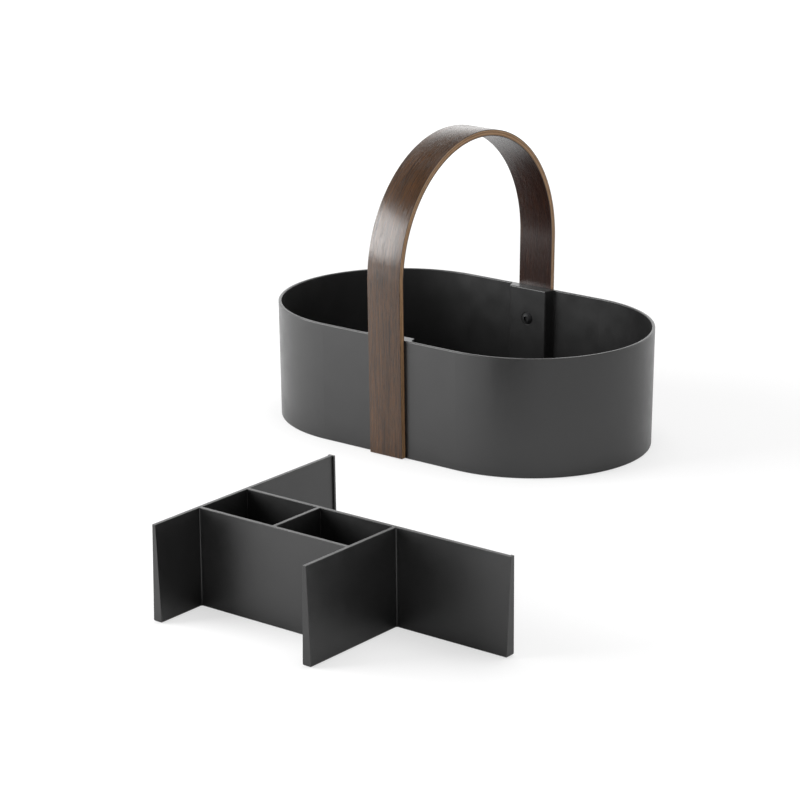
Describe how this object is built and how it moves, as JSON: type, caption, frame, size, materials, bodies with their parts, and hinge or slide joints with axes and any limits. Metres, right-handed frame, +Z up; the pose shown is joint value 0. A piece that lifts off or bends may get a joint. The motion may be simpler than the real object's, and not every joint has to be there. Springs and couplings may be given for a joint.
{
  "type": "tool storage caddy",
  "caption": "Oblong open storage bin with rounded ends, a bent laminated wood strap handle arching over its middle, and a loose drop-in divider with crossing walls and small cells.",
  "frame": {"origin": "centre of the bin's flat underside, on the surface that the caddy stands on", "axes": "+X along the bin's length, +Z up, -Y towards the front, where the divider stands taken out; the strap crosses the bin in the YZ plane"},
  "size_m": [0.4974, 0.5909, 0.2484],
  "materials": {
    "bin_plastic": "charcoal grey moulded plastic, satin with a very fine texture",
    "divider_plastic": "charcoal grey moulded plastic, satin with a very fine texture",
    "strap_veneer": "dark brown straight-grained veneer, oiled satin",
    "strap_ply": "light brown plies, seen along the strap's cut edges",
    "screw_steel": "black oxide on steel",
    "sleeve_brass": "turned brass"
  },
  "bodies": {
    "caddy": {"tub": "bin_plastic", "strap_face_outer": "strap_veneer", "strap_ply_1": "strap_ply", "strap_ply_2": "strap_ply", "strap_ply_3": "strap_ply", "strap_ply_4": "strap_ply", "strap_face_inner": "strap_veneer", "screw_front": "screw_steel", "screw_rear": "screw_steel", "sleeve_front": "sleeve_brass", "sleeve_rear": "sleeve_brass"},
    "divider": {"divider": "divider_plastic"}
  },
  "joints": [
    {"name": "divider_lift", "type": "slide", "parent": "caddy", "child": "divider", "axis": [0, 0, 1], "range_m": [0, 0.13]}
  ]
}
